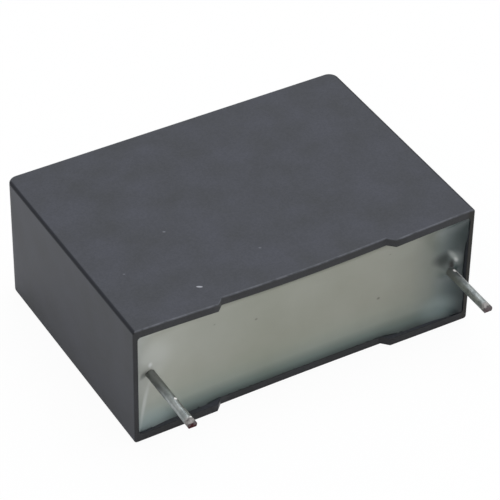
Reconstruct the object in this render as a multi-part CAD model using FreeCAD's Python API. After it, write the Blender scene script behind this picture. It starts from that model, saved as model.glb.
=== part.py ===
# Box film capacitor, lying on one broad face, as it comes to rest.
#
# X runs along the case's length. Y runs along its height, from the leads (-Y) to the closed
# end (+Y). Z runs through its thickness, from the face that it lies on (z = 0) upwards. The
# origin is the centre of that face. The case's four feet share one plane, the seat, which
# meets the circuit board. Depths are measured from the seat into the case.
import FreeCAD
import Part
import math
import os
from FreeCAD import Vector

# Case: a thin-walled moulded box, open on the side of the leads
CASE_LENGTH = 31.5
CASE_HEIGHT = 22.2
CASE_THICKNESS = 11.6
END_WALL = 0.4          # the two short walls, at the rim
SIDE_WALL = 0.75        # the two long walls, at the rim
CLOSED_WALL = 1.0       # the closed end, opposite the leads
CAVITY_DRAFT_DEG = 0.6  # the cavity narrows inwards, so the walls thicken
CAVITY_CORNER_R = 0.3
CLOSED_CORNER_R = 0.9   # the two upright corners of the closed end
LONG_EDGE_R = 0.25      # the edges round both broad faces
RIM_EDGE_R = 0.12       # the outer edge of the rim

# Rim: raised feet at the corners, and a sunk middle on both long walls
FOOT_LENGTH = 7.55      # of each foot, along a long wall at the seat
RECESS_DEPTH = 0.6
RECESS_SLOPE_DEG = 45.0

# Leads: round tinned wire, cranked inwards under the resin to meet the metal spray
LEAD_INSET = 2.0        # from the case's end to the wire's axis, so the pitch is 27.5
LEAD_D = 0.8
LEFT_LEAD_REACH = 5.8   # beyond the seat
RIGHT_LEAD_REACH = 5.5
CRANK_COVER = 0.1       # the resin over the start of the crank
CRANK_SHIFT = 0.7       # how far inwards the crank brings the wire
CRANK_R = 3.0           # of the wire's centre line
LEAD_BITE = 0.1         # how far the wire is pressed into the spray
LEAD_TAIL = 2.2         # the wire past the middle of its joint
WELD_INSET = 5.1        # from the roll's near side to the middle of the joint
WELD_FLAT_LENGTH = 2.4
WELD_FLAT_CUT = 0.15    # what the electrode pressed off the wire's outer side
PINCH_LENGTH = 0.5      # the cutter squeezed the tip to a blunt wedge
PINCH_THICKNESS = 0.45

# Resin: its surface is a shallow dish that climbs the walls and the leads
RESIN_BELOW_RECESS = 0.65   # from the sunk middle of the rim down to the pool
MENISCUS_R = 1.8
MENISCUS_RISE = 0.9     # no higher than the sunk middle of the rim, where that is lower
COLLAR_RISE = 0.45      # how far the resin climbs each lead
COLLAR_RUN = 0.75       # how far the collar spreads from the wire
COLLAR_SAG = 0.1        # how hollow the collar's slope is
COLLAR_LAND = 0.04      # the blunt top of the collar, and how far its foot is sunk

# Winding: a flattened roll of metallised film, closed by turns of bare film
WINDING_COVER = 2.05    # the resin over the roll, from the pool
WINDING_GAP = 0.3       # to the closed end and to the long walls
WRAP_THICKNESS = 0.15
CORE_SLIT_THICKNESS = 0.2   # left by the mandrel when the roll was pressed flat

# Metal sprayed on both ends of the roll, and the joints that hold the leads on it
SPRAY_THICKNESS = 0.5
SPRAY_MARGIN = 0.3      # the bare film at the roll's edge
SPRAY_EDGE_CHAMFER = 0.2
SOLDER_R = 1.6          # of its round foot on the spray
SOLDER_HEIGHT = 0.85

# Worked out from the values above
SEAT_Y = -CASE_HEIGHT / 2
MIDDLE_Z = CASE_THICKNESS / 2
LEAD_R = LEAD_D / 2
LEAD_X = CASE_LENGTH / 2 - LEAD_INSET
CAVITY_DEPTH = CASE_HEIGHT - CLOSED_WALL
CAVITY_HALF_LENGTH = CASE_LENGTH / 2 - END_WALL
CAVITY_HALF_THICKNESS = MIDDLE_Z - SIDE_WALL
DRAFT = math.tan(math.radians(CAVITY_DRAFT_DEG))
RESIN_DEPTH = RECESS_DEPTH + RESIN_BELOW_RECESS
COLLAR_DEPTH = RESIN_DEPTH - COLLAR_RISE
CRANK_DEPTH = COLLAR_DEPTH + CRANK_COVER
WELD_AXIS_X = LEAD_X - CRANK_SHIFT
SPRAY_FACE_X = WELD_AXIS_X - LEAD_R + LEAD_BITE
FILM_HALF_WIDTH = SPRAY_FACE_X - SPRAY_THICKNESS
WINDING_DEPTH = RESIN_DEPTH + WINDING_COVER
WINDING_HEIGHT = CAVITY_DEPTH - WINDING_GAP - WINDING_DEPTH
WINDING_THICKNESS = 2 * (CAVITY_HALF_THICKNESS - CAVITY_DEPTH * DRAFT - WINDING_GAP)
WELD_DEPTH = WINDING_DEPTH + WELD_INSET
OVERCUT = 1.0           # how far a cutting tool passes the surface that it cuts
NEAR = 0.001            # two places closer than this are one


def at_depth(depth):
    """The Y of a plane this far inside the seat."""
    return SEAT_Y + depth


def block(half_x, y_low, y_high, z_low, z_high):
    """A plain box, centred on X."""
    corner = Vector(-half_x, y_low, z_low)
    return Part.makeBox(2 * half_x, y_high - y_low, z_high - z_low, corner)


def prism(points, direction):
    """A solid with a straight-edged outline, pushed along a direction."""
    outline = Part.makePolygon(points + points[:1])
    return Part.Face(outline).extrude(direction)


def edges_where(shape, is_wanted):
    """The edges whose two ends and middle all satisfy a test of a point."""
    found = []
    for edge in shape.Edges:
        middle = edge.valueAt((edge.FirstParameter + edge.LastParameter) / 2)
        places = [vertex.Point for vertex in edge.Vertexes] + [middle]
        if all(is_wanted(place) for place in places):
            found.append(edge)
    return found


def cavity():
    """The inside of the case: a drafted box with round corners, carried past the rim."""
    flare = OVERCUT * DRAFT
    taper = CAVITY_DEPTH * DRAFT
    mouth_x = CAVITY_HALF_LENGTH + flare
    mouth_z = CAVITY_HALF_THICKNESS + flare
    floor_x = CAVITY_HALF_LENGTH - taper
    floor_z = CAVITY_HALF_THICKNESS - taper
    mouth_y = at_depth(-OVERCUT)
    floor_y = at_depth(CAVITY_DEPTH)
    shape = Part.makeWedge(
        -mouth_x, mouth_y, MIDDLE_Z - mouth_z, MIDDLE_Z - floor_z, -floor_x,
        mouth_x, floor_y, MIDDLE_Z + mouth_z, MIDDLE_Z + floor_z, floor_x)
    corners = [edge for edge in shape.Edges if edge.BoundBox.YLength > CAVITY_DEPTH / 2]
    return shape.makeFillet(CAVITY_CORNER_R, corners)


def outer_box():
    """The outside of the case, with its round edges."""
    shape = block(CASE_LENGTH / 2, SEAT_Y, -SEAT_Y, 0, CASE_THICKNESS)
    upright = edges_where(
        shape, lambda place: abs(place.y + SEAT_Y) < NEAR and abs(abs(place.x) - CASE_LENGTH / 2) < NEAR)
    shape = shape.makeFillet(CLOSED_CORNER_R, upright)
    for z in (0, CASE_THICKNESS):
        round_face = edges_where(shape, lambda place: abs(place.z - z) < NEAR)
        front = edges_where(shape, lambda place: abs(place.y - SEAT_Y) < NEAR)
        loop = [edge for edge in round_face if not any(edge.isSame(other) for other in front)]
        shape = shape.makeFillet(LONG_EDGE_R, loop)
    return shape


def rim_recess():
    """What is cut from the middle of both long walls, with sloped ends."""
    floor_y = at_depth(RECESS_DEPTH)
    front_y = at_depth(-OVERCUT)
    slope = math.tan(math.radians(RECESS_SLOPE_DEG))
    floor_x = CASE_LENGTH / 2 - FOOT_LENGTH - RECESS_DEPTH / slope
    front_x = CASE_LENGTH / 2 - FOOT_LENGTH + OVERCUT / slope
    outline = [
        Vector(-floor_x, floor_y, -OVERCUT), Vector(floor_x, floor_y, -OVERCUT),
        Vector(front_x, front_y, -OVERCUT), Vector(-front_x, front_y, -OVERCUT)]
    return prism(outline, Vector(0, 0, CASE_THICKNESS + 2 * OVERCUT))


def case():
    """The moulded case, with the outer edge of its stepped rim rounded."""
    shape = outer_box().cut(cavity()).cut(rim_recess())
    corner_inset = LONG_EDGE_R * (1 - math.sqrt(0.5)) + NEAR

    def is_outer_rim(place):
        past_side = abs(place.z - MIDDLE_Z) - MIDDLE_Z
        past_end = abs(place.x) - CASE_LENGTH / 2
        return place.y < at_depth(RECESS_DEPTH) + NEAR and max(past_side, past_end) > -corner_inset

    return shape.makeFillet(RIM_EDGE_R, edges_where(shape, is_outer_rim))


def stadium(x_low, x_high, depth, height, thickness):
    """A flattened round bar along X, from a depth inwards, in the middle of the thickness."""
    radius = thickness / 2
    near_y = at_depth(depth) + radius
    far_y = at_depth(depth + height) - radius
    near_low, near_high = Vector(x_low, near_y, MIDDLE_Z - radius), Vector(x_low, near_y, MIDDLE_Z + radius)
    far_low, far_high = Vector(x_low, far_y, MIDDLE_Z - radius), Vector(x_low, far_y, MIDDLE_Z + radius)
    outline = Part.Wire([
        Part.LineSegment(near_low, far_low).toShape(),
        Part.Arc(far_low, Vector(x_low, far_y + radius, MIDDLE_Z), far_high).toShape(),
        Part.LineSegment(far_high, near_high).toShape(),
        Part.Arc(near_high, Vector(x_low, near_y - radius, MIDDLE_Z), near_low).toShape()])
    return Part.Face(outline).extrude(Vector(x_high - x_low, 0, 0))


def roll(inset, x_low=-FILM_HALF_WIDTH, x_high=FILM_HALF_WIDTH):
    """The winding's outline, this much smaller all round."""
    return stadium(x_low, x_high, WINDING_DEPTH + inset, WINDING_HEIGHT - 2 * inset,
                   WINDING_THICKNESS - 2 * inset)


def film_winding():
    """The metallised film, wound on a mandrel and pressed flat, with its core slit."""
    slit_inset = (WINDING_THICKNESS - CORE_SLIT_THICKNESS) / 2
    slit = roll(slit_inset, -SPRAY_FACE_X, SPRAY_FACE_X)
    return roll(WRAP_THICKNESS).cut(slit)


def winding_wrap():
    """The turns of bare film round the winding."""
    return roll(0).cut(roll(WRAP_THICKNESS))


def disc(centre, heading):
    """The wire's section at a point of its centre line."""
    return Part.Face(Part.Wire(Part.makeCircle(LEAD_R, centre, heading)))


def lead(reach):
    """The right lead: a straight wire, a crank inwards, and a straight end along the spray."""
    turn = math.acos(1 - CRANK_SHIFT / (2 * CRANK_R))
    tip_y = at_depth(-reach)
    crank_y = at_depth(CRANK_DEPTH)
    crank_start = Vector(LEAD_X, crank_y, MIDDLE_Z)
    first_centre = crank_start - Vector(CRANK_R, 0, 0)
    between = first_centre + Vector(CRANK_R * math.cos(turn), CRANK_R * math.sin(turn), 0)
    second_centre = between * 2 - first_centre
    crank_end = second_centre - Vector(CRANK_R, 0, 0)
    inner_length = at_depth(WELD_DEPTH + LEAD_TAIL) - crank_end.y

    straight = Part.makeCylinder(LEAD_R, crank_y - tip_y, Vector(LEAD_X, tip_y, MIDDLE_Z), Vector(0, 1, 0))
    first_bend = disc(crank_start, Vector(0, 1, 0)).revolve(
        first_centre, Vector(0, 0, 1), math.degrees(turn))
    second_bend = disc(between, Vector(-math.sin(turn), math.cos(turn), 0)).revolve(
        second_centre, Vector(0, 0, -1), math.degrees(turn))
    inner = Part.makeCylinder(LEAD_R, inner_length, crank_end, Vector(0, 1, 0))
    wire = straight.fuse([first_bend, second_bend, inner]).removeSplitter()
    return wire.cut([weld_flat(), pinch(tip_y, 1), pinch(tip_y, -1)])


def weld_flat():
    """What the welding electrode pressed flat on the right lead's outer side."""
    flat_x = WELD_AXIS_X + LEAD_R - WELD_FLAT_CUT
    corner = Vector(flat_x, at_depth(WELD_DEPTH) - WELD_FLAT_LENGTH / 2, MIDDLE_Z - LEAD_D)
    return Part.makeBox(LEAD_D, WELD_FLAT_LENGTH, 2 * LEAD_D, corner)


def pinch(tip_y, up):
    """What the cutter squeezed off the upper or lower side of the right lead's tip."""
    slope = (LEAD_D - PINCH_THICKNESS) / 2 / PINCH_LENGTH
    start_x = LEAD_X - LEAD_D
    places = [
        (-LEAD_D, PINCH_THICKNESS / 2 - LEAD_D * slope),
        (PINCH_LENGTH + LEAD_D, LEAD_R + LEAD_D * slope),
        (-LEAD_D, LEAD_R + LEAD_D * slope)]
    outline = [Vector(start_x, tip_y + along, MIDDLE_Z + up * off) for along, off in places]
    return prism(outline, Vector(2 * LEAD_D, 0, 0))


def metal_spray():
    """The sprayed metal on the right end of the roll, with the lead's groove still to cut."""
    shape = roll(WRAP_THICKNESS + SPRAY_MARGIN, FILM_HALF_WIDTH, SPRAY_FACE_X)
    outer = edges_where(shape, lambda place: abs(place.x - SPRAY_FACE_X) < NEAR)
    return shape.makeChamfer(SPRAY_EDGE_CHAMFER, outer)


def solder():
    """The low dome of solder over the right lead's end, before the lead is cut from it."""
    ball_r = (SOLDER_R ** 2 + SOLDER_HEIGHT ** 2) / (2 * SOLDER_HEIGHT)
    centre = Vector(SPRAY_FACE_X + SOLDER_HEIGHT - ball_r, at_depth(WELD_DEPTH), MIDDLE_Z)
    ball = Part.makeSphere(ball_r, centre)
    corner = centre - Vector(2 * ball_r, 2 * ball_r, 2 * ball_r)
    behind = Part.makeBox(SPRAY_FACE_X - corner.x, 4 * ball_r, 4 * ball_r, corner)
    return ball.cut(behind)


def resin_dish():
    """The open space over the resin, whose round foot leaves the meniscus on the walls."""
    run = math.sqrt(MENISCUS_R ** 2 - (MENISCUS_R - MENISCUS_RISE) ** 2)
    past_wall = MENISCUS_R - run - (RESIN_DEPTH - MENISCUS_RISE) * DRAFT
    half_x = CAVITY_HALF_LENGTH + past_wall
    half_z = CAVITY_HALF_THICKNESS + past_wall
    floor_y = at_depth(RESIN_DEPTH)
    open_y = floor_y - 2 * MENISCUS_R
    shape = block(half_x, open_y, floor_y, MIDDLE_Z - half_z, MIDDLE_Z + half_z)
    foot = edges_where(shape, lambda place: abs(place.y - floor_y) < NEAR)
    return shape.makeFillet(MENISCUS_R, foot)


def resin_collar():
    """The resin that climbs the right lead: a hollow-sided cone round the wire."""
    top = Vector(LEAD_X + LEAD_R + COLLAR_LAND, at_depth(COLLAR_DEPTH), MIDDLE_Z)
    foot = Vector(LEAD_X + LEAD_R + COLLAR_RUN, at_depth(RESIN_DEPTH + COLLAR_LAND), MIDDLE_Z)
    chord = foot - top
    inward = Vector(-chord.y, chord.x, 0).normalize()
    middle = (top + foot) * 0.5 + inward * COLLAR_SAG
    on_axis_top = Vector(LEAD_X, top.y, MIDDLE_Z)
    on_axis_foot = Vector(LEAD_X, foot.y + COLLAR_RISE, MIDDLE_Z)
    under_foot = Vector(foot.x, on_axis_foot.y, MIDDLE_Z)
    outline = Part.Wire([
        Part.LineSegment(on_axis_top, top).toShape(),
        Part.Arc(top, middle, foot).toShape(),
        Part.LineSegment(foot, under_foot).toShape(),
        Part.LineSegment(under_foot, on_axis_foot).toShape(),
        Part.LineSegment(on_axis_foot, on_axis_top).toShape()])
    return Part.Face(outline).revolve(on_axis_top, Vector(0, 1, 0), 360)


def mirrored(shape):
    """The left-hand twin of a right-hand piece."""
    return shape.mirror(Vector(0, 0, 0), Vector(1, 0, 0))


def resin_fill(embedded):
    """The potting resin: the cavity up to the dish, with everything embedded cut out."""
    collar = resin_collar()
    filled = cavity().cut([resin_dish(), rim_recess()]).fuse([collar, mirrored(collar)])
    return filled.cut([roll(0)] + embedded).removeSplitter()


def build():
    """Every piece of the capacitor, by name."""
    right_lead, left_lead = lead(RIGHT_LEAD_REACH), mirrored(lead(LEFT_LEAD_REACH))
    right_spray, left_spray = metal_spray().cut(right_lead), mirrored(metal_spray()).cut(left_lead)
    right_solder, left_solder = solder().cut(right_lead), mirrored(solder()).cut(left_lead)
    ends = {
        "lead_right": right_lead, "lead_left": left_lead,
        "metal_spray_right": right_spray, "metal_spray_left": left_spray,
        "solder_right": right_solder, "solder_left": left_solder}
    return {
        "case": case(), "resin_fill": resin_fill(list(ends.values())),
        "film_winding": film_winding(), "winding_wrap": winding_wrap(), **ends}


def solid_of(shape):
    """The single solid in a shape."""
    return shape.Solids[0] if len(shape.Solids) == 1 else shape


os.makedirs("parts", exist_ok=True)
for name, shape in build().items():
    piece = solid_of(shape)
    piece.exportStep("parts/" + name + ".step")
    box = piece.BoundBox
    print(f"{name}: {len(piece.Solids)} solid, {piece.Volume:.2f} mm3, valid {piece.isValid()}, "
          f"{box.XLength:.2f} x {box.YLength:.2f} x {box.ZLength:.2f} mm")
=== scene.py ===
import bpy
import math
import numpy as np
from mathutils import Matrix, Vector


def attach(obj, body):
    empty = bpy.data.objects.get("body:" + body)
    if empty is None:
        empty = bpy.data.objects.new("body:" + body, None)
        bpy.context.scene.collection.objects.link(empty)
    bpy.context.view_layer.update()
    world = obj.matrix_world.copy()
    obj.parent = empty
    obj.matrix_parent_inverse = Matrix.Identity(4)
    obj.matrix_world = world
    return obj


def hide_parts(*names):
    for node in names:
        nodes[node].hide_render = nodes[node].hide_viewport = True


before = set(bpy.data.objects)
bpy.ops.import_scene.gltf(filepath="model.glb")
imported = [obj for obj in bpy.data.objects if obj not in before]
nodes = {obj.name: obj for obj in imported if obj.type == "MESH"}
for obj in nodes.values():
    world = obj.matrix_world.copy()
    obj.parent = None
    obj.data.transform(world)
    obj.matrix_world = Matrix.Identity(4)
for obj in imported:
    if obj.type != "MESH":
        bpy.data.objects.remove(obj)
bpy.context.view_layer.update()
scene = bpy.context.scene
scene.view_settings.view_transform = "Standard"


# Film winding: a roll of thin plastic film with vacuum-deposited metal, wound on a mandrel
# and pressed flat. The spray closes its ends and the wrap its sides.
MM = 0.001              # the frame is in metres, and the sizes here in millimetres
FILM_TURN = 0.3         # real turns are 6 microns apart, drawn as coarse as they need to show
FILM_RELIEF = 0.02
RING_SPACING = 0.314    # a wave texture of scale 1 has a ring this often


def linear(hex_colour):
    """An sRGB hex colour as linear RGBA."""
    channels = []
    for start in (1, 3, 5):
        value = int(hex_colour[start:start + 2], 16) / 255
        channels.append(value / 12.92 if value <= 0.04045 else ((value + 0.055) / 1.055) ** 2.4)
    return (*channels, 1)


def add_node(tree, kind, settings=None, links=None, stops=()):
    """A node with its settings, its constants and input links by name or number, and any
    colour stops as (place, hex colour)."""
    node = tree.nodes.new(kind)
    for name, value in (settings or {}).items():
        if isinstance(name, int) or (name in node.inputs.keys() and not hasattr(node, name)):
            node.inputs[name].default_value = value
        else:
            setattr(node, name, value)
    for name, source in (links or {}).items():
        tree.links.new(source, node.inputs[name])
    for index, (position, colour) in enumerate(stops):
        if index >= len(node.color_ramp.elements):
            node.color_ramp.elements.new(position)
        element = node.color_ramp.elements[index]
        element.position, element.color = position, linear(colour)
    return node


def new_material(name):
    """A material and its empty node tree."""
    material = bpy.data.materials.new(name)
    material.use_nodes = True
    material.node_tree.nodes.clear()
    return material, material.node_tree


def give(node_name, material):
    """Puts a material in every slot of a CAD node."""
    mesh = nodes[node_name].data
    for index in range(len(mesh.materials)):
        mesh.materials[index] = material


# Metallised polypropylene film: a bright, slightly blue metal with the turns as fine lines.
film, tree = new_material("metallised_polypropylene_film")
place = add_node(tree, "ShaderNodeTexCoord").outputs["Object"]
turns = add_node(tree, "ShaderNodeTexWave", {
    "wave_type": "RINGS", "rings_direction": "X",
    "Scale": RING_SPACING / (FILM_TURN * MM), "Distortion": 0.4}, {"Vector": place})
tint = add_node(tree, "ShaderNodeValToRGB", links={"Fac": turns.outputs["Color"]},
                stops=[(0.0, "#8f979e"), (1.0, "#b4bbc0")])
relief = add_node(tree, "ShaderNodeBump", {"Strength": 0.2, "Distance": FILM_RELIEF * MM},
                  {"Height": turns.outputs["Fac"]})
shader = add_node(tree, "ShaderNodeBsdfPrincipled", {"Metallic": 1.0, "Roughness": 0.3},
                  {"Base Color": tint.outputs["Color"], "Normal": relief.outputs["Normal"]})
add_node(tree, "ShaderNodeOutputMaterial", links={"Surface": shader.outputs["BSDF"]})
give("film_winding", film)


# Winding wrap: a few turns of bare film that close the roll, welded shut with a hot bar.
# Clear polypropylene looks milky in a stack of turns.
HAZE_SIZE = 3
wrap, tree = new_material("bare_polypropylene_film")
place = add_node(tree, "ShaderNodeTexCoord").outputs["Object"]
haze = add_node(tree, "ShaderNodeTexNoise", {"Scale": 1 / (HAZE_SIZE * MM), "Detail": 3.0},
                {"Vector": place})
tint = add_node(tree, "ShaderNodeValToRGB", links={"Fac": haze.outputs["Fac"]},
                stops=[(0.3, "#c9ccc6"), (0.7, "#dcdfd9")])
shader = add_node(tree, "ShaderNodeBsdfPrincipled", {"Roughness": 0.25, "IOR": 1.49},
                  {"Base Color": tint.outputs["Color"]})
add_node(tree, "ShaderNodeOutputMaterial", links={"Surface": shader.outputs["BSDF"]})
give("winding_wrap", wrap)


# Metal spray: zinc, melted in an arc and blown on both ends of the roll, which joins the
# edges of the film. It stays rough, like cast sand.
SPRAY_GRAIN, SPRAY_RELIEF = 0.25, 0.05
spray, tree = new_material("sprayed_zinc")
place = add_node(tree, "ShaderNodeTexCoord").outputs["Object"]
grain = add_node(tree, "ShaderNodeTexVoronoi", {"Scale": 1 / (SPRAY_GRAIN * MM)}, {"Vector": place})
tint = add_node(tree, "ShaderNodeValToRGB", links={"Fac": grain.outputs["Distance"]},
                stops=[(0.0, "#a3a7a8"), (0.8, "#777b7d")])
relief = add_node(tree, "ShaderNodeBump", {"Strength": 0.6, "Distance": SPRAY_RELIEF * MM},
                  {"Height": grain.outputs["Distance"]})
shader = add_node(tree, "ShaderNodeBsdfPrincipled", {"Metallic": 1.0, "Roughness": 0.6},
                  {"Base Color": tint.outputs["Color"], "Normal": relief.outputs["Normal"]})
add_node(tree, "ShaderNodeOutputMaterial", links={"Surface": shader.outputs["BSDF"]})
for name in ("metal_spray_left", "metal_spray_right"):
    give(name, spray)


# Leads: 0.8 mm copper wire, hot-dip tinned, cut to length by a cutter that squeezed the
# tips and left the red copper bare on their end faces.
LEADS = {       # end of the wire along Y, and how much tin the cutter smeared over the copper
    "lead_left": (-16.9, 0.38), "lead_right": (-16.6, 0.55)}
TIN_WAVE, TIN_RELIEF = 0.7, 0.08        # the soft swellings that dipping left
DRAW_LINE, LINE_RELIEF = 0.12, 0.01     # the lines that the drawing die left along the wire
LINE_SQUASH = 0.06          # width over length of those lines
DARK_TIN_END, PLAIN_TIN_START = -11.3, -13.8      # the tin is drawn greyer and darker next to the resin
MARKS_START, MARKS_FULL = 0.8, 0.36     # how far from the tip the cutter left its grey marks
CUT_FACE_DEPTH = 0.012      # everything this near the tip is the cut face
SMEAR_SIZE = 0.35           # of the tin smeared on the cut face, and of the cutter's marks
SMEAR_BLEND = 0.08
GLINT_EDGE = (0.6, 1.0)      # as shares of a painted glint's half size
WIRE_GLINTS = (             # painted glints on the wires, pale and not metal: x, y, z, half their width and length
    (-13.6, -13.95, 6.18, 0.17, 0.17), (-13.6, -16.3, 6.1, 0.14, 0.12),
    (13.88, -11.5, 6.15, 0.2, 0.22), (14.03, -12.0, 6.08, 0.1, 0.55))

for name, (tip, smear) in LEADS.items():
    # Tinned copper: a grey metal with soft unevenness, and dull red-brown where it is cut.
    tin, tree = new_material("tinned_copper_" + name.split("_")[1])
    place = add_node(tree, "ShaderNodeTexCoord").outputs["Object"]
    along = add_node(tree, "ShaderNodeSeparateXYZ", links={"Vector": place}).outputs["Y"]
    waves = add_node(tree, "ShaderNodeTexNoise", {"Scale": 1 / (TIN_WAVE * MM), "Detail": 2.0},
                     {"Vector": place})
    squashed = add_node(tree, "ShaderNodeMapping", {"Scale": (1.0, LINE_SQUASH, 1.0)}, {"Vector": place})
    lines = add_node(tree, "ShaderNodeTexNoise", {"Scale": 1 / (DRAW_LINE * MM), "Detail": 1.0},
                     {"Vector": squashed.outputs["Vector"]})
    wave_relief = add_node(tree, "ShaderNodeBump", {"Strength": 0.35, "Distance": TIN_RELIEF * MM},
                           {"Height": waves.outputs["Fac"]})
    relief = add_node(tree, "ShaderNodeBump", {"Strength": 0.25, "Distance": LINE_RELIEF * MM},
                      {"Height": lines.outputs["Fac"], "Normal": wave_relief.outputs["Normal"]})

    # The tin: greyer and darker beside the resin, and marked by the cutter near the tip.
    bright = add_node(tree, "ShaderNodeValToRGB", links={"Fac": waves.outputs["Fac"]},
                      stops=[(0.35, "#8f9594"), (0.65, "#b2b7b5")])
    plain_tin = add_node(tree, "ShaderNodeMapRange", {
        "interpolation_type": "SMOOTHSTEP", "From Min": DARK_TIN_END * MM, "From Max": PLAIN_TIN_START * MM},
        {"Value": along})
    colour = add_node(tree, "ShaderNodeMix", {"data_type": "RGBA", 6: linear("#8e908f")},
                      {0: plain_tin.outputs["Result"], 7: bright.outputs["Color"]}).outputs[2]
    smears = add_node(tree, "ShaderNodeTexNoise", {"Scale": 1 / (SMEAR_SIZE * MM), "Detail": 3.0},
                      {"Vector": place})
    marked = add_node(tree, "ShaderNodeMapRange", {
        "interpolation_type": "SMOOTHSTEP",
        "From Min": (tip + MARKS_START) * MM, "From Max": (tip + MARKS_FULL) * MM}, {"Value": along})
    marks = add_node(tree, "ShaderNodeValToRGB", links={"Fac": smears.outputs["Fac"]},
                     stops=[(0.4, "#6b6766"), (0.62, "#aba8a5")])
    colour = add_node(tree, "ShaderNodeMix", {"data_type": "RGBA"}, {
        0: marked.outputs["Result"], 6: colour, 7: marks.outputs["Color"]}).outputs[2]

    # Painted glints: pale spots that aren't metal, so they stay bright under any light.
    beside_glints = []
    for x, y, z, half_width, half_length in WIRE_GLINTS:
        glint = add_node(tree, "ShaderNodeMapping", {
            "vector_type": "TEXTURE", "Location": (x * MM, y * MM, z * MM),
            "Scale": (half_width * MM, half_length * MM, half_width * MM)}, {"Vector": place})
        away = add_node(tree, "ShaderNodeVectorMath", {"operation": "LENGTH"},
                        {0: glint.outputs["Vector"]})
        beside = add_node(tree, "ShaderNodeMapRange", {
            "From Min": GLINT_EDGE[0], "From Max": GLINT_EDGE[1]},
            {"Value": away.outputs["Value"]}).outputs["Result"]
        colour = add_node(tree, "ShaderNodeMix", {"data_type": "RGBA", 6: linear("#f4f1ec")},
                          {0: beside, 7: colour}).outputs[2]
        beside_glints.append(beside)
    metal = beside_glints[0]
    for beside in beside_glints[1:]:
        metal = add_node(tree, "ShaderNodeMath", {"operation": "MULTIPLY"},
                         {0: metal, 1: beside}).outputs[0]

    cut_face = add_node(tree, "ShaderNodeValToRGB", links={"Fac": smears.outputs["Fac"]},
                        stops=[(smear - SMEAR_BLEND, "#7e7476"), (smear + SMEAR_BLEND, "#583435")])
    uncut = add_node(tree, "ShaderNodeMath", {
        "operation": "GREATER_THAN", 1: (tip + CUT_FACE_DEPTH) * MM}, {0: along})
    colour = add_node(tree, "ShaderNodeMix", {"data_type": "RGBA"}, {
        0: uncut.outputs[0], 6: cut_face.outputs["Color"], 7: colour}).outputs[2]
    rough = add_node(tree, "ShaderNodeMapRange", {"To Min": 0.4, "To Max": 0.8},
                     {"Value": marked.outputs["Result"]})
    shader = add_node(tree, "ShaderNodeBsdfPrincipled", links={
        "Base Color": colour, "Metallic": metal, "Roughness": rough.outputs["Result"],
        "Normal": relief.outputs["Normal"]})
    add_node(tree, "ShaderNodeOutputMaterial", links={"Surface": shader.outputs["BSDF"]})
    give(name, tin)


# Solder: the low dome that holds each lead's end on the sprayed metal.
# Tin solder that froze in air is brighter and smoother than the spray, and faintly frosted.
FROST_SIZE = 0.2
solder, tree = new_material("tin_solder")
place = add_node(tree, "ShaderNodeTexCoord").outputs["Object"]
frost = add_node(tree, "ShaderNodeTexNoise", {"Scale": 1 / (FROST_SIZE * MM), "Detail": 4.0},
                 {"Vector": place})
tint = add_node(tree, "ShaderNodeValToRGB", links={"Fac": frost.outputs["Fac"]},
                stops=[(0.3, "#aeb1b0"), (0.7, "#c6c9c8")])
shader = add_node(tree, "ShaderNodeBsdfPrincipled", {"Metallic": 1.0, "Roughness": 0.35},
                  {"Base Color": tint.outputs["Color"]})
add_node(tree, "ShaderNodeOutputMaterial", links={"Surface": shader.outputs["BSDF"]})
for name in ("solder_left", "solder_right"):
    give(name, solder)


# Case: one thin-walled injection moulding of flame-retardant PBT, open where the leads come
# out. Its long walls sank in a little as it cooled, most in the middle of the mouth. The
# tool's fine spark texture makes it satin, and handling left a few pale specks.
CASE_HALF = (15.75, 5.8)    # half the case along X and Z
MIDDLE_Z = CASE_HALF[1]     # it lies on z = 0
MOUTH, CLOSED_END = -11.1, 11.1     # the plane of the feet and the far end, along Y
WALL_SINK = (0.46, 0.13)    # of the upper and the lower long wall
WALL_START = (3.6, 4.8)     # off the middle, from what stays in place to what moves with a wall
BEND_GAP = 1.0              # between the cuts that let a piece bend
MERGE_GAP = 0.0005          # corners nearer than this are one
FLAT_ANGLE, CASE_CREASE = math.radians(0.5), math.radians(30)
CASE_CLOUD = 3
CASE_GRAIN, CASE_RELIEF = 0.16, 0.02    # real grain is 0.03 mm, drawn as coarse as it needs to show
END_SHADE_LINE = (0.3, 0.2)       # the painted line of shade on the ends' edges: how far in it starts and is full
RIM_STEP_X, RIM_STEP_Y = (7.6, 8.2), (-10.5, -11.1)     # from the rim's sunk middle to a foot
RIM_FACE = (0.06, 0.03)     # what lies this near to the rim's level is its face
RIM_SHADE_X, RIM_SHADE = (14.9, 15.3), (0.35, 0.75)     # how much painted shade it gets, up to the right end and on it
RIM_HIGHLIGHT = (0.13, 0.08)  # the painted highlight on the rim's upper edge: how far in it starts and is full
HIGHLIGHT_PATCH_SIZE = 0.6            # between the brightest places of that painted highlight
SPECK_TURN = math.radians(-29)
SPECK_EDGE = (1.15, 0.85)   # as shares of a speck's half size
CASE_SPECKS = (             # x, y, z, half the length, width and depth, colour
    (-8.51, -8.58, 11.6, 0.25, 0.09, 0.1, "#9a9ca2"), (-7.71, -1.32, 11.6, 0.12, 0.08, 0.1, "#64666c"),
    (-13.03, -4.53, 11.6, 0.1, 0.07, 0.1, "#5c5e64"), (-1.88, -6.59, 11.6, 0.12, 0.08, 0.1, "#5c5e64"),
    (-7.83, -10.8, 0.2, 0.3, 0.3, 0.3, "#8e9092"))      # a pale fleck at the end of the lower sunk middle


def take_alone(piece):
    """Selects one piece and nothing else, and makes it the active one."""
    bpy.ops.object.select_all(action="DESELECT")
    bpy.context.view_layer.objects.active = piece
    piece.select_set(True)


def open_edit(piece):
    """Puts one piece in edit mode with nothing selected."""
    take_alone(piece)
    bpy.ops.object.mode_set(mode="EDIT")
    bpy.ops.mesh.select_mode(type="VERT")
    bpy.ops.mesh.select_all(action="DESELECT")


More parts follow.
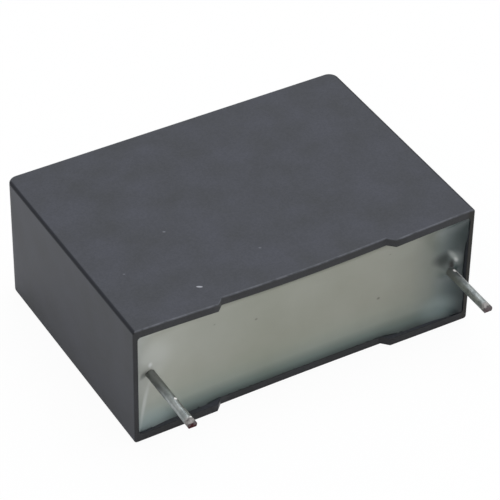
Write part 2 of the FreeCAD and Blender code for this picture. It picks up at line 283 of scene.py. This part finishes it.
def copy_node(name):
    """A closed copy of a CAD node's mesh."""
    piece = bpy.data.objects.new("copy_of_" + name, nodes[name].data.copy())
    scene.collection.objects.link(piece)
    open_edit(piece)
    bpy.ops.mesh.select_all(action="SELECT")
    bpy.ops.mesh.remove_doubles(threshold=MERGE_GAP * MM)
    bpy.ops.object.mode_set(mode="OBJECT")
    return piece


def cut_for_bending(piece):
    """Cuts a piece's faces across its length and its depth."""
    open_edit(piece)
    for axis, reach in ((0, CASE_HALF[0]), (1, CLOSED_END)):
        for step in range(1, math.ceil(2 * reach / BEND_GAP)):
            point, facing = [0, 0, 0], [0, 0, 0]
            point[axis], facing[axis] = (-reach + step * BEND_GAP) * MM, 1
            bpy.ops.mesh.select_all(action="SELECT")
            bpy.ops.mesh.bisect(plane_co=point, plane_no=facing)
    bpy.ops.object.mode_set(mode="OBJECT")


def blend_between(value, low, high):
    """0 below low, 1 above high, and smooth between."""
    share = np.clip((value - low) / (high - low), 0, 1)
    return share * share * (3 - 2 * share)


def read_corners(mesh):
    """The places of a mesh's corners as one row of numbers: x, y, z, x, y, z and so on."""
    row = np.empty(len(mesh.vertices) * 3)
    mesh.vertices.foreach_get("co", row)
    return row


def sink_walls(piece):
    """Moves what lies at the long walls in, as a plate bends that is held on three sides."""
    row = read_corners(piece.data)
    x, y, z = row[0::3] / MM, row[1::3] / MM, row[2::3] / MM - MIDDLE_Z
    along = np.clip(1 - (x / CASE_HALF[0]) ** 2, 0, 1) ** 2
    outwards = np.clip((CLOSED_END - y) / (CLOSED_END - MOUTH), 0, 1) ** 2
    sink = np.where(z > 0, WALL_SINK[0], WALL_SINK[1]) * blend_between(np.abs(z), *WALL_START)
    row[2::3] -= np.sign(z) * sink * along * outwards * MM
    piece.data.vertices.foreach_set("co", row)
    piece.data.update()


box = copy_node("case")
box.name = "case_moulding"
open_edit(box)
bpy.ops.mesh.select_all(action="SELECT")
bpy.ops.mesh.dissolve_limited(angle_limit=FLAT_ANGLE)
bpy.ops.object.mode_set(mode="OBJECT")
cut_for_bending(box)
tool_place = box.data.attributes.new("tool_place", "FLOAT_VECTOR", "POINT")
tool_place.data.foreach_set("vector", read_corners(box.data))
sink_walls(box)
take_alone(box)
bpy.ops.object.shade_smooth_by_angle(angle=CASE_CREASE)
modifier = box.modifiers.new("flat_faces", "WEIGHTED_NORMAL")
modifier.keep_sharp = True
bpy.ops.object.modifier_apply(modifier=modifier.name)

# Moulded PBT: a dark blue grey, a little cloudy, with a satin gloss from its fine grain. Its
# patterns are laid out on the places that the walls had in the tool.
plastic, tree = new_material("moulded_pbt")
place = add_node(tree, "ShaderNodeAttribute", {"attribute_name": "tool_place"}).outputs["Vector"]
cloud = add_node(tree, "ShaderNodeTexNoise", {"Scale": 1 / (CASE_CLOUD * MM), "Detail": 3.0},
                 {"Vector": place})
grain = add_node(tree, "ShaderNodeTexNoise", {"Scale": 1 / (CASE_GRAIN * MM), "Detail": 2.0},
                 {"Vector": place})
patches = add_node(tree, "ShaderNodeValToRGB", links={"Fac": cloud.outputs["Fac"]},
                   stops=[(0.3, "#3f4145"), (0.7, "#45474e")])
dots = add_node(tree, "ShaderNodeValToRGB", links={"Fac": grain.outputs["Fac"]},
                stops=[(0.35, "#ececec"), (0.65, "#ffffff")])
colour = add_node(tree, "ShaderNodeMix", {"data_type": "RGBA", "blend_type": "MULTIPLY", 0: 1.0},
                  {6: patches.outputs["Color"], 7: dots.outputs["Color"]}).outputs[2]

# Painted shade: a dark line along the rounded edges of the ends, where they mirror dark surroundings.
parts = add_node(tree, "ShaderNodeSeparateXYZ", links={"Vector": place})
off_middle = add_node(tree, "ShaderNodeMath", {"operation": "ABSOLUTE"}, {0: parts.outputs["X"]})
above_middle = add_node(tree, "ShaderNodeMath", {"operation": "SUBTRACT", 1: MIDDLE_Z * MM},
                        {0: parts.outputs["Z"]})
off_plane = add_node(tree, "ShaderNodeMath", {"operation": "ABSOLUTE"}, {0: above_middle.outputs[0]})
out_x_z = add_node(tree, "ShaderNodeMath", {"operation": "ADD"},
                   {0: off_middle.outputs[0], 1: off_plane.outputs[0]})
end_shade_line = add_node(tree, "ShaderNodeMapRange", {
    "From Min": (sum(CASE_HALF) - END_SHADE_LINE[0]) * MM, "From Max": (sum(CASE_HALF) - END_SHADE_LINE[1]) * MM,
    "To Max": 0.95}, {"Value": out_x_z.outputs[0]})
colour = add_node(tree, "ShaderNodeMix", {"data_type": "RGBA", 7: linear("#1d1f25")},
                  {0: end_shade_line.outputs["Result"], 6: colour}).outputs[2]

# Painted shade: the rim's face is drawn darker than the walls, most of all on the right end.
# Painted highlight: a pale line along its upper edge, brighter in patches.
rim_y = add_node(tree, "ShaderNodeMapRange", {
    "From Min": RIM_STEP_X[0] * MM, "From Max": RIM_STEP_X[1] * MM,
    "To Min": RIM_STEP_Y[0] * MM, "To Max": RIM_STEP_Y[1] * MM}, {"Value": off_middle.outputs[0]})
behind_rim = add_node(tree, "ShaderNodeMath", {"operation": "SUBTRACT"},
                      {0: parts.outputs["Y"], 1: rim_y.outputs["Result"]})
rim_face = add_node(tree, "ShaderNodeMapRange", {
    "From Min": RIM_FACE[0] * MM, "From Max": RIM_FACE[1] * MM}, {"Value": behind_rim.outputs[0]})
rim_shade = add_node(tree, "ShaderNodeMapRange", {
    "From Min": RIM_SHADE_X[0] * MM, "From Max": RIM_SHADE_X[1] * MM,
    "To Min": RIM_SHADE[0], "To Max": RIM_SHADE[1]}, {"Value": parts.outputs["X"]})
shaded = add_node(tree, "ShaderNodeMath", {"operation": "MULTIPLY"},
                  {0: rim_face.outputs["Result"], 1: rim_shade.outputs["Result"]})
colour = add_node(tree, "ShaderNodeMix", {"data_type": "RGBA", 7: linear("#201c0a")},
                  {0: shaded.outputs[0], 6: colour}).outputs[2]
out_y_z = add_node(tree, "ShaderNodeMath", {"operation": "SUBTRACT"},
                   {0: above_middle.outputs[0], 1: behind_rim.outputs[0]})
rim_edge = add_node(tree, "ShaderNodeMapRange", {
    "From Min": (CASE_HALF[1] - RIM_HIGHLIGHT[0]) * MM, "From Max": (CASE_HALF[1] - RIM_HIGHLIGHT[1]) * MM},
    {"Value": out_y_z.outputs[0]})
highlight_patches = add_node(tree, "ShaderNodeTexNoise", {"Scale": 1 / (HIGHLIGHT_PATCH_SIZE * MM), "Detail": 2.0},
                  {"Vector": place})
patchy = add_node(tree, "ShaderNodeMapRange", {
    "From Min": 0.3, "From Max": 0.7, "To Min": 0.3, "To Max": 0.9}, {"Value": highlight_patches.outputs["Fac"]})
painted_highlight = add_node(tree, "ShaderNodeMath", {"operation": "MULTIPLY"},
                  {0: rim_edge.outputs["Result"], 1: patchy.outputs["Result"]})
colour = add_node(tree, "ShaderNodeMix", {"data_type": "RGBA", 7: linear("#6c6e74")},
                  {0: painted_highlight.outputs[0], 6: colour}).outputs[2]

for x, y, z, half_length, half_width, half_depth, tone in CASE_SPECKS:
    speck = add_node(tree, "ShaderNodeMapping", {
        "vector_type": "TEXTURE", "Location": (x * MM, y * MM, z * MM), "Rotation": (0, 0, SPECK_TURN),
        "Scale": (half_length * MM, half_width * MM, half_depth * MM)}, {"Vector": place})
    away = add_node(tree, "ShaderNodeVectorMath", {"operation": "LENGTH"}, {0: speck.outputs["Vector"]})
    inside = add_node(tree, "ShaderNodeMapRange", {
        "From Min": SPECK_EDGE[0], "From Max": SPECK_EDGE[1]}, {"Value": away.outputs["Value"]})
    colour = add_node(tree, "ShaderNodeMix", {"data_type": "RGBA", 7: linear(tone)},
                      {0: inside.outputs["Result"], 6: colour}).outputs[2]
rough = add_node(tree, "ShaderNodeMapRange", {"To Min": 0.42, "To Max": 0.52},
                 {"Value": grain.outputs["Fac"]})
relief = add_node(tree, "ShaderNodeBump", {"Strength": 0.25, "Distance": CASE_RELIEF * MM},
                  {"Height": grain.outputs["Fac"]})
shader = add_node(tree, "ShaderNodeBsdfPrincipled", {"IOR": 1.5, "Specular IOR Level": 0.2}, {
    "Base Color": colour, "Roughness": rough.outputs["Result"], "Normal": relief.outputs["Normal"]})
add_node(tree, "ShaderNodeOutputMaterial", links={"Surface": shader.outputs["BSDF"]})
box.data.materials.clear()
box.data.materials.append(plastic)
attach(box, "root")
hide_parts("case")


# Potting resin: filled polyurethane, poured round the winding with the case standing on its
# closed end, and cured. Before it set it climbed the walls and the leads as any liquid does,
# so its surface is the still surface of a liquid between them.
RESIN_MOUTH = (15.35, 5.05)     # half the cavity at the mouth, along X and Z
RESIN_FLOOR = (15.128, 4.828)   # and at its closed end
CAVITY_DEPTH = 21.2
CAVITY_CORNER, CORNER_STEPS = 0.3, 5
POOL_DEPTH = 1.55           # of the level far from everything, from the plane of the feet
CLIMB_LENGTH = 1.35         # how fast the climb dies away from a wall
GRID = 0.1                  # between the points at which the surface is worked out
GRID_COUNT = (320, 118)     # of those points, along X and Z
SETTLE_STEPS = 1500
WIRE_GRIP = 0.43            # the resin holds on to the wire within this radius
LEAD_CLIMB = (              # a lead's x, and how deep the resin starts on its upper and lower side
    (-13.75, 0.95, 1.1), (13.75, 0.12, 0.05))
UPPER_SIDE = (0.6, 0.8)     # the side of the wire, along X and Z, that the first depth is for
EDGE_DEPTHS = {             # how deep the resin's edge lies in the middle of each wall, and how much
    "upper": (0.8, (0.44, 7.2, 9.4), (0.32, 8.6, 15.0)),            # less deep it gets between two
    "lower_left": (0.65, (0.2, 7.2, 9.4), (0.25, 12.0, 15.2)),      # distances from the middle
    "lower_right": (0.65, (0.33, 7.2, 9.4), (0.25, 12.0, 15.2)),
    "end": (0.4, (0.33, 0.6, 5.05))}
AIR_REACH = 3               # how far the air reaches past the plane of the feet
RESIN_CREASE = math.radians(35)


def edge_depth(wall, distance):
    """How deep the resin's edge lies on a wall, at distances from the middle of it."""
    depth, *rises = EDGE_DEPTHS[wall]
    for rise, start, end in rises:
        depth = depth - rise * blend_between(distance, start, end)
    return depth


def cut(piece, cutter):
    """Cuts one piece from another and throws the cutter away."""
    take_alone(piece)
    modifier = piece.modifiers.new("cut", "BOOLEAN")
    modifier.operation, modifier.solver, modifier.object = "DIFFERENCE", "EXACT", cutter
    bpy.ops.object.modifier_apply(modifier=modifier.name)
    bpy.data.objects.remove(cutter)


# The surface: held at its edges and on the wires, and settled between them.
x_line = (np.arange(GRID_COUNT[0]) - (GRID_COUNT[0] - 1) / 2) * GRID
z_line = MIDDLE_Z + (np.arange(GRID_COUNT[1]) - (GRID_COUNT[1] - 1) / 2) * GRID
x_grid, z_grid = np.meshgrid(x_line, z_line, indexing="ij")
off_x, off_z = np.abs(x_grid), np.abs(z_grid - MIDDLE_Z)
lower_edge = np.where(x_grid < 0, edge_depth("lower_left", off_x), edge_depth("lower_right", off_x))
side_edge = np.where(z_grid > MIDDLE_Z, edge_depth("upper", off_x), lower_edge)
end_edge = edge_depth("end", off_z)
rise = np.zeros_like(x_grid)
held = np.zeros_like(x_grid, dtype=bool)
for beyond, edge in ((off_x > RESIN_MOUTH[0], end_edge), (off_z > RESIN_MOUTH[1], side_edge)):
    rise[beyond] = (POOL_DEPTH - edge)[beyond]
    held |= beyond
for lead_x, upper_depth, lower_depth in LEAD_CLIMB:
    from_x, from_z = x_grid - lead_x, z_grid - MIDDLE_Z
    distance = np.hypot(from_x, from_z)
    lean = 0.5 + 0.5 * (from_x * UPPER_SIDE[0] + from_z * UPPER_SIDE[1]) / np.maximum(distance, GRID / 10)
    on_wire = distance < WIRE_GRIP
    rise[on_wire] = (POOL_DEPTH - lower_depth - (upper_depth - lower_depth) * lean)[on_wire]
    held |= on_wire
pull = (GRID / CLIMB_LENGTH) ** 2
for _ in range(SETTLE_STEPS):
    around = rise[:-2, 1:-1] + rise[2:, 1:-1] + rise[1:-1, :-2] + rise[1:-1, 2:]
    rise[1:-1, 1:-1] = np.where(held[1:-1, 1:-1], rise[1:-1, 1:-1], around / (4 + pull))
surface_y = (MOUTH + POOL_DEPTH - rise) * MM

# The block that fills the cavity: a box, tapered towards the closed end, with the cavity's
# rounded long edges.
bpy.ops.object.select_all(action="DESELECT")
bpy.ops.mesh.primitive_cube_add(size=1, location=(0, 0, 0))
resin = bpy.context.object
open_edit(resin)
bpy.ops.mesh.select_all(action="SELECT")
bpy.ops.transform.resize(value=(2 * RESIN_MOUTH[0] * MM, CAVITY_DEPTH * MM, 2 * RESIN_MOUTH[1] * MM))
bpy.ops.transform.translate(value=(0, (MOUTH + CAVITY_DEPTH / 2) * MM, MIDDLE_Z * MM))
bpy.ops.mesh.select_all(action="DESELECT")
bpy.ops.object.mode_set(mode="OBJECT")
for vertex in resin.data.vertices:
    vertex.select = vertex.co.y > 0
bpy.ops.object.mode_set(mode="EDIT")
bpy.ops.transform.resize(
    value=(RESIN_FLOOR[0] / RESIN_MOUTH[0], 1, RESIN_FLOOR[1] / RESIN_MOUTH[1]),
    center_override=(0, 0, MIDDLE_Z * MM))
bpy.ops.mesh.select_mode(type="EDGE")
bpy.ops.mesh.select_all(action="DESELECT")
bpy.ops.object.mode_set(mode="OBJECT")
for edge in resin.data.edges:
    ends = [resin.data.vertices[index].co for index in edge.vertices]
    edge.select = abs(ends[0].y - ends[1].y) > CAVITY_DEPTH / 2 * MM
bpy.ops.object.mode_set(mode="EDIT")
bpy.ops.mesh.bevel(offset=CAVITY_CORNER * MM, segments=CORNER_STEPS, affect="EDGES")
bpy.ops.object.mode_set(mode="OBJECT")
cut_for_bending(resin)
sink_walls(resin)

# The air over it: a grid laid on the settled surface and drawn out past the rim.
bpy.ops.object.select_all(action="DESELECT")
bpy.ops.mesh.primitive_grid_add(
    x_subdivisions=GRID_COUNT[0] - 1, y_subdivisions=GRID_COUNT[1] - 1, size=1, location=(0, 0, 0))
air = bpy.context.object
row = read_corners(air.data)
x_index = np.rint((row[0::3] + 0.5) * (GRID_COUNT[0] - 1)).astype(int)
z_index = np.rint((row[1::3] + 0.5) * (GRID_COUNT[1] - 1)).astype(int)
placed = np.stack([x_line[x_index] * MM, surface_y[x_index, z_index], z_line[z_index] * MM], axis=1)
air.data.vertices.foreach_set("co", placed.ravel())
air.data.update()
open_edit(air)
bpy.ops.mesh.select_all(action="SELECT")
bpy.ops.mesh.extrude_region_move(TRANSFORM_OT_translate={"value": (0, -AIR_REACH * MM, 0)})
bpy.ops.transform.resize(value=(1, 0, 1), center_override=(0, (MOUTH - AIR_REACH) * MM, 0))
bpy.ops.mesh.select_all(action="SELECT")
bpy.ops.mesh.normals_make_consistent(inside=False)
bpy.ops.object.mode_set(mode="OBJECT")
sink_walls(air)
cut(resin, air)
for name in ("lead_left", "lead_right", "winding_wrap", "film_winding", "metal_spray_left",
             "metal_spray_right", "solder_left", "solder_right"):
    cut(resin, copy_node(name))

# No resin reaches the closed slit inside the winding, so what the cuts left there goes.
open_edit(resin)
bpy.ops.mesh.select_all(action="SELECT")
bpy.ops.mesh.separate(type="LOOSE")
bpy.ops.object.mode_set(mode="OBJECT")
*strays, resin = sorted(bpy.context.selected_objects, key=lambda piece: len(piece.data.vertices))
for stray in strays:
    bpy.data.objects.remove(stray)
resin.name = "resin_pour"
take_alone(resin)
bpy.ops.object.shade_smooth_by_angle(angle=RESIN_CREASE)

# Filled polyurethane: an olive grey with a soft gloss. It lets light a little way in, so it
# loses its red first and then goes dark where it is thin over the dark walls. Its colour also
# holds painted shade, darker towards the bottom wall and most of all at the right end, and
# painted light, paler at the left end.
RESIN_CLOUD = 5
RESIN_SKIN, RESIN_RELIEF = 0.5, 0.02
MARK_EDGE = (1.0, 0.15)     # as shares of a mark's half size, so it fades almost all the way in
RESIN_LIGHT_SHADE_AND_MARKS = (     # painted light and shade, and pinholes: x, z, half sizes along X and Z, turn in degrees, colour, share
    (-13.3, 7.2, 2.6, 2.6, 0, "#d0d3cc", 0.5),          # painted light over the left lead
    (-14.5, 2.9, 0.35, 2.8, 20, "#dfe2df", 0.55),       # painted highlight on the ridge down to the corner
    (-13.72, 6.63, 0.3, 0.3, 0, "#eceeec", 0.75),       # painted highlight over the left lead
    (-14.4, 5.9, 0.6, 0.5, 0, "#5c605c", 0.55),         # painted shade beside the left lead
    (13.45, 6.72, 1.3, 0.75, -25, "#3a3f3d", 0.8),      # painted shade beside the right lead, on the collar's dark side
    (14.6, 6.5, 0.9, 1.1, -30, "#8f9794", 0.5),         # painted light on the collar's lit side
    (14.4, 6.8, 0.36, 0.95, -38, "#b4bab6", 0.6),
    (14.58, 6.42, 0.24, 0.4, -38, "#d8dad6", 0.7),      # and its painted highlight, beside the wire
    (14.0, 6.22, 0.6, 0.42, -38, "#262220", 0.9),       # painted shade in the ring round the wire
    (0.0, 10.5, 11.0, 1.1, 0, "#42443d", 0.8),          # painted shadow under the upper wall's sunk middle
    (13.1, 1.6, 2.4, 1.4, -12, "#95a4a2", 0.5),         # pale corners, where the resin climbed most
    (-13.8, 1.3, 2.6, 1.3, 12, "#b0c0be", 0.4),
    (-3.89, 6.91, 0.2, 0.16, 0, "#5f6158", 0.6),        # pinholes
    (-7.75, 8.0, 0.15, 0.12, 0, "#6b6d64", 0.5),
    (7.74, 4.33, 0.22, 0.18, 0, "#55574e", 0.7),
    (8.56, 8.75, 0.15, 0.12, 0, "#6b6d64", 0.5))

resin_material, tree = new_material("filled_polyurethane")
place = add_node(tree, "ShaderNodeTexCoord").outputs["Object"]
parts = add_node(tree, "ShaderNodeSeparateXYZ", links={"Vector": place})
lengthwise = add_node(tree, "ShaderNodeMapRange", {
    "From Min": -RESIN_MOUTH[0] * MM, "From Max": RESIN_MOUTH[0] * MM}, {"Value": parts.outputs["X"]})
upwards = add_node(tree, "ShaderNodeMapRange", {
    "From Min": (MIDDLE_Z - RESIN_MOUTH[1]) * MM, "From Max": (MIDDLE_Z + RESIN_MOUTH[1]) * MM},
    {"Value": parts.outputs["Z"]})
# Painted light and shade: paler at the left end, darkest at the right end, and darker towards the bottom
# wall.
tint_light_and_shade_by_length = add_node(tree, "ShaderNodeValToRGB", links={"Fac": lengthwise.outputs["Result"]}, stops=[
    (0.0, "#b9bdb8"), (0.06, "#bcbeb5"), (0.125, "#b5b7ac"), (0.24, "#a8aa9e"), (0.4, "#a3a598"),
    (0.76, "#a2a397"), (0.85, "#999b90"), (0.907, "#868b83"), (0.935, "#747d7a"), (0.955, "#5a6564"),
    (0.975, "#3f4b4b"), (1.0, "#263333")])
tint_and_shade_by_height = add_node(tree, "ShaderNodeValToRGB", links={"Fac": upwards.outputs["Result"]}, stops=[
    (0.0, "#5f6b74"), (0.025, "#8c9ca5"), (0.05, "#b3c5ce"), (0.12, "#ebf4f7"), (0.22, "#fcffff"),
    (0.34, "#ffffff")])
colour = add_node(tree, "ShaderNodeMix", {"data_type": "RGBA", "blend_type": "MULTIPLY", 0: 1.0},
                  {6: tint_light_and_shade_by_length.outputs["Color"], 7: tint_and_shade_by_height.outputs["Color"]}).outputs[2]
cloud = add_node(tree, "ShaderNodeTexNoise", {"Scale": 1 / (RESIN_CLOUD * MM), "Detail": 4.0},
                 {"Vector": place})
patches = add_node(tree, "ShaderNodeValToRGB", links={"Fac": cloud.outputs["Fac"]},
                   stops=[(0.3, "#f2f2ee"), (0.7, "#ffffff")])
colour = add_node(tree, "ShaderNodeMix", {"data_type": "RGBA", "blend_type": "MULTIPLY", 0: 1.0},
                  {6: colour, 7: patches.outputs["Color"]}).outputs[2]
for x, z, half_x, half_z, turn, tone, share in RESIN_LIGHT_SHADE_AND_MARKS:
    mark = add_node(tree, "ShaderNodeMapping", {
        "vector_type": "TEXTURE", "Location": (x * MM, MOUTH * MM, z * MM),
        "Rotation": (0, math.radians(turn), 0),
        "Scale": (half_x * MM, CAVITY_DEPTH * MM, half_z * MM)}, {"Vector": place})
    away = add_node(tree, "ShaderNodeVectorMath", {"operation": "LENGTH"}, {0: mark.outputs["Vector"]})
    inside = add_node(tree, "ShaderNodeMapRange", {
        "interpolation_type": "SMOOTHSTEP", "From Min": MARK_EDGE[0], "From Max": MARK_EDGE[1],
        "To Max": share}, {"Value": away.outputs["Value"]})
    colour = add_node(tree, "ShaderNodeMix", {"data_type": "RGBA", 7: linear(tone)},
                      {0: inside.outputs["Result"], 6: colour}).outputs[2]
skin = add_node(tree, "ShaderNodeTexNoise", {"Scale": 1 / (RESIN_SKIN * MM), "Detail": 3.0},
                {"Vector": place})
relief = add_node(tree, "ShaderNodeBump", {"Strength": 0.1, "Distance": RESIN_RELIEF * MM},
                  {"Height": skin.outputs["Fac"]})
shader = add_node(tree, "ShaderNodeBsdfPrincipled", {"IOR": 1.5, "Roughness": 0.3},
                  {"Base Color": colour, "Normal": relief.outputs["Normal"]})
add_node(tree, "ShaderNodeOutputMaterial", links={"Surface": shader.outputs["BSDF"]})
resin.data.materials.clear()
resin.data.materials.append(resin_material)
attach(resin, "root")
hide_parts("resin_fill")


# Table: a white sheet under the part. The camera and mirror-like surfaces see mostly its
# white, and the rest of its light is real, so the part's shadow stays.
TABLE_SIZE = 4          # metres
TABLE_GLOW, TABLE_GLOSS = 0.95, 0.2
bpy.ops.object.select_all(action="DESELECT")
bpy.ops.mesh.primitive_plane_add(size=TABLE_SIZE, location=(0, 0, 0))
table = bpy.context.object
table.name = "table"
sheet, tree = new_material("white_paper")
path = add_node(tree, "ShaderNodeLightPath")
seen = add_node(tree, "ShaderNodeMath", {"operation": "MULTIPLY", 1: TABLE_GLOW},
                {0: path.outputs["Is Camera Ray"]})
mirrored = add_node(tree, "ShaderNodeMath", {"operation": "MULTIPLY", 1: TABLE_GLOSS},
                    {0: path.outputs["Is Glossy Ray"]})
share = add_node(tree, "ShaderNodeMath", {"operation": "ADD"},
                 {0: seen.outputs[0], 1: mirrored.outputs[0]})
lit = add_node(tree, "ShaderNodeBsdfDiffuse", {"Color": linear("#eeeeee")})
glow = add_node(tree, "ShaderNodeEmission", {"Color": linear("#ffffff"), "Strength": 1.0})
mix = add_node(tree, "ShaderNodeMixShader", links={
    0: share.outputs[0], 1: lit.outputs[0], 2: glow.outputs[0]})
add_node(tree, "ShaderNodeOutputMaterial", links={"Surface": mix.outputs[0]})
table.data.materials.append(sheet)


# World: a plain studio. The camera sees white, and the part is lit by a soft sky that is
# brightest overhead.
SKY_DIM, SKY_BRIGHT = 0.28, 0.85
SKY_TOWARDS = Vector((0.1, 0.25, 0.95)).normalized()    # where it is brightest
SKY_FADE = (-0.1, 0.85)     # cosines of the angle off that, where it is dim and where it is bright
world = bpy.data.worlds.new("studio")
world.use_nodes = True
scene.world = world
tree = world.node_tree
tree.nodes.clear()
heading = add_node(tree, "ShaderNodeTexCoord").outputs["Generated"]
facing = add_node(tree, "ShaderNodeVectorMath", {"operation": "DOT_PRODUCT", 1: tuple(SKY_TOWARDS)},
                  {0: heading})
sky = add_node(tree, "ShaderNodeMapRange", {
    "interpolation_type": "SMOOTHSTEP", "From Min": SKY_FADE[0], "From Max": SKY_FADE[1],
    "To Min": SKY_DIM, "To Max": SKY_BRIGHT}, {"Value": facing.outputs["Value"]})
path = add_node(tree, "ShaderNodeLightPath")
soft = add_node(tree, "ShaderNodeBackground", {"Color": linear("#ffffff")},
                {"Strength": sky.outputs["Result"]})
white = add_node(tree, "ShaderNodeBackground", {"Color": linear("#ffffff"), "Strength": 1.0})
mix = add_node(tree, "ShaderNodeMixShader", links={
    0: path.outputs["Is Camera Ray"], 1: soft.outputs[0], 2: white.outputs[0]})
add_node(tree, "ShaderNodeOutputWorld", links={"Surface": mix.outputs[0]})


# Lamp: one large soft box overhead.
LAMP_TOWARDS = Vector((0.2, 0.14, 1.0)).normalized()
LAMP_DISTANCE, LAMP_SIZE = 0.7, 0.5     # metres
LAMP_WATTS = 2.6
lamp_data = bpy.data.lights.new("soft_box", "AREA")
lamp_data.energy = LAMP_WATTS
lamp_data.size = LAMP_SIZE
lamp_data.color = linear("#f4f7ff")[:3]      # daylight tubes
lamp = bpy.data.objects.new("soft_box", lamp_data)
scene.collection.objects.link(lamp)
lamp.location = LAMP_TOWARDS * LAMP_DISTANCE
lamp.rotation_euler = (-lamp.location).to_track_quat("-Z", "Y").to_euler()


# Camera: it stands to the left of the lead side and looks down at it. Its place and angles
# were fitted to the case's outline and edges in the photograph.
CAMERA_PLACE = Vector((-84.499, -143.99, 141.465)) * MM
AZIMUTH, ELEVATION, ROLL = (math.radians(angle) for angle in (-30.736, 39.123, 1.065))
FOCAL_PIXELS, PHOTO_PIXELS, SENSOR = 2592, 500, 36
NEAR_LIMIT = 0.01       # metres
camera_data = bpy.data.cameras.new("photo_camera")
camera_data.sensor_width = SENSOR
camera_data.lens = FOCAL_PIXELS / PHOTO_PIXELS * SENSOR
camera_data.clip_start = NEAR_LIMIT
camera = bpy.data.objects.new("photo_camera", camera_data)
scene.collection.objects.link(camera)
camera.location = CAMERA_PLACE
turn = (Matrix.Rotation(AZIMUTH, 3, "Z") @ Matrix.Rotation(math.pi / 2 - ELEVATION, 3, "X")
        @ Matrix.Rotation(ROLL, 3, "Z"))
camera.rotation_euler = turn.to_euler()
scene.camera = camera
